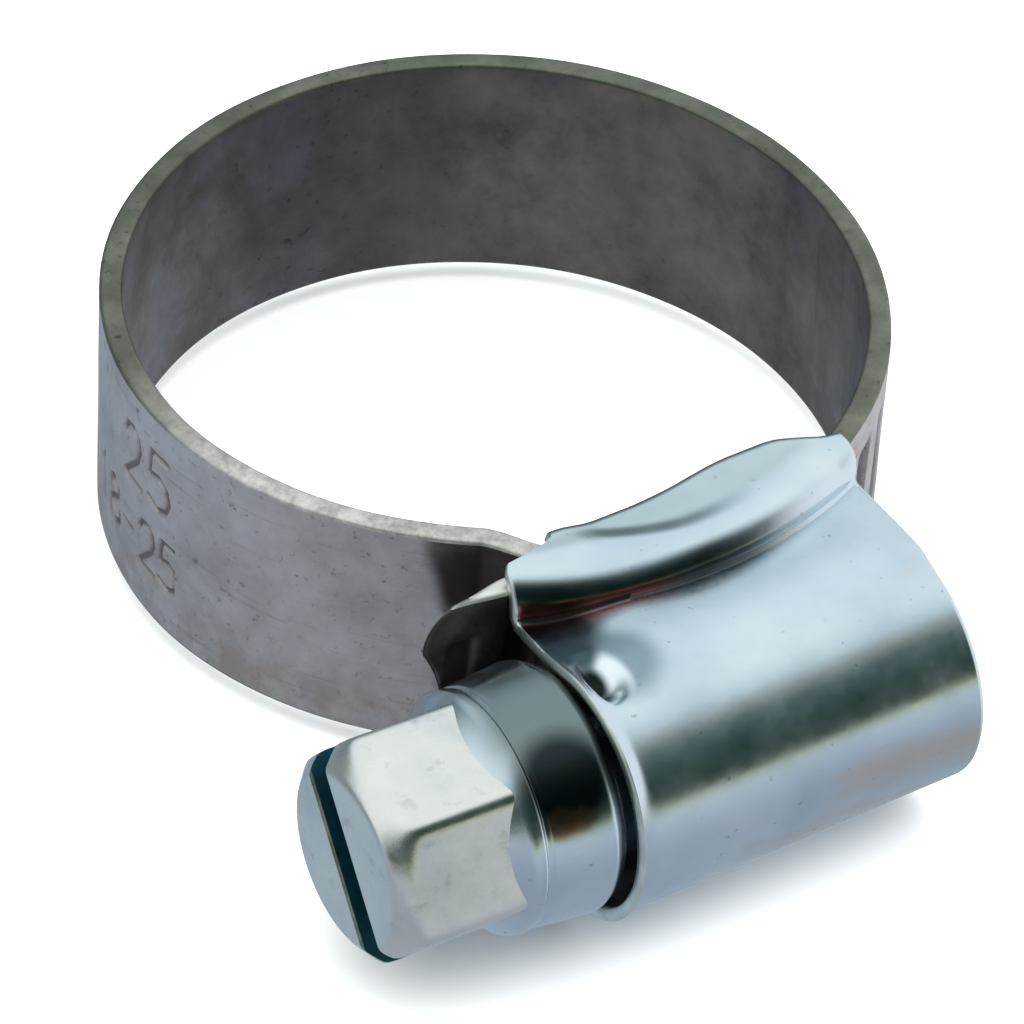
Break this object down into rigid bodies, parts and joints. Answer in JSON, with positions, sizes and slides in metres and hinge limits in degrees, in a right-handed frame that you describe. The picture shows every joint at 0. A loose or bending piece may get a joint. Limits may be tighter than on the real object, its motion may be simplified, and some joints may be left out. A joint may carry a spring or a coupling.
{
  "type": "hose clamp",
  "caption": "Worm-drive hose clip: a slotted hexagon screw in a pressed housing pulls the threaded end of a steel strap through, closing the strap's ring round a hose.",
  "frame": {"origin": "middle of the bounding box at its lowest point, which is the housing's lower skirt face; the clamp lies flat", "axes": "+Z along the ring's axis, +X along the screw from its hexagon head towards the barrel's far end, -Y from the ring's centre out to the screw"},
  "size_m": [0.03, 0.0358, 0.0104],
  "materials": {
    "zinc_plate": "bright blue-white zinc plate, glossy",
    "strap_steel": "dull grey-brown steel strip, faintly mottled"
  },
  "bodies": {
    "housing": {"housing": "zinc_plate", "strap_fixed_end": "strap_steel"},
    "screw": {"worm_screw": "zinc_plate"},
    "free_end": {"strap_free_end": "strap_steel"},
    "span_1": {"strap_span_1": "strap_steel"},
    "span_2": {"strap_span_2": "strap_steel"},
    "span_3": {"strap_span_3": "strap_steel"},
    "span_4": {"strap_span_4": "strap_steel"},
    "span_5": {"strap_span_5": "strap_steel"},
    "span_6": {"strap_span_6": "strap_steel"},
    "span_7": {"strap_span_7": "strap_steel"},
    "span_8": {"strap_span_8": "strap_steel"}
  },
  "joints": [
    {"name": "worm_spin", "type": "hinge", "parent": "housing", "child": "screw", "pos_m": [0.00018, -0.01343, 0.0052], "axis": [0.9994, -0.0244, -0.0244], "range_deg": [0, 1440]},
    {"name": "strap_feed", "type": "hinge", "parent": "housing", "child": "free_end", "pos_m": [0.00048, 0.00472, 0.0052], "axis": [0, 0, -1], "range_deg": [0, 34.9]},
    {"name": "bend_8", "type": "hinge", "parent": "free_end", "child": "span_8", "pos_m": [0.01316, -0.00179, 0.0052], "axis": [0, 0, 1], "range_deg": [0, 3.59]},
    {"name": "bend_7", "type": "hinge", "parent": "span_8", "child": "span_7", "pos_m": [0.01459, 0.0055, 0.0052], "axis": [0, 0, 1], "range_deg": [0, 3.34]},
    {"name": "bend_6", "type": "hinge", "parent": "span_7", "child": "span_6", "pos_m": [0.01196, 0.01237, 0.0052], "axis": [0, 0, 1], "range_deg": [0, 3.13]},
    {"name": "bend_5", "type": "hinge", "parent": "span_6", "child": "span_5", "pos_m": [0.00603, 0.01672, 0.0052], "axis": [0, 0, 1], "range_deg": [0, 3.14]},
    {"name": "bend_4", "type": "hinge", "parent": "span_5", "child": "span_4", "pos_m": [-0.00131, 0.01712, 0.0052], "axis": [0, 0, 1], "range_deg": [0, 3.44]},
    {"name": "bend_3", "type": "hinge", "parent": "span_4", "child": "span_3", "pos_m": [-0.00767, 0.01345, 0.0052], "axis": [0, 0, 1], "range_deg": [0, 3.94]},
    {"name": "bend_2", "type": "hinge", "parent": "span_3", "child": "span_2", "pos_m": [-0.011, 0.0069, 0.0052], "axis": [0, 0, 1], "range_deg": [0, 4.47]},
    {"name": "bend_1", "type": "hinge", "parent": "span_2", "child": "span_1", "pos_m": [-0.01011, -0.00036, 0.0052], "axis": [0, 0, 1], "range_deg": [0, 4.88]}
  ],
  "couplings": [
    {"joint": "strap_feed", "follows": "worm_spin", "ratio": 0.024231},
    {"joint": "bend_8", "follows": "worm_spin", "ratio": 0.002484},
    {"joint": "bend_7", "follows": "worm_spin", "ratio": 0.002314},
    {"joint": "bend_6", "follows": "worm_spin", "ratio": 0.002164},
    {"joint": "bend_5", "follows": "worm_spin", "ratio": 0.002174},
    {"joint": "bend_4", "follows": "worm_spin", "ratio": 0.00238},
    {"joint": "bend_3", "follows": "worm_spin", "ratio": 0.002726},
    {"joint": "bend_2", "follows": "worm_spin", "ratio": 0.003097},
    {"joint": "bend_1", "follows": "worm_spin", "ratio": 0.00338}
  ]
}
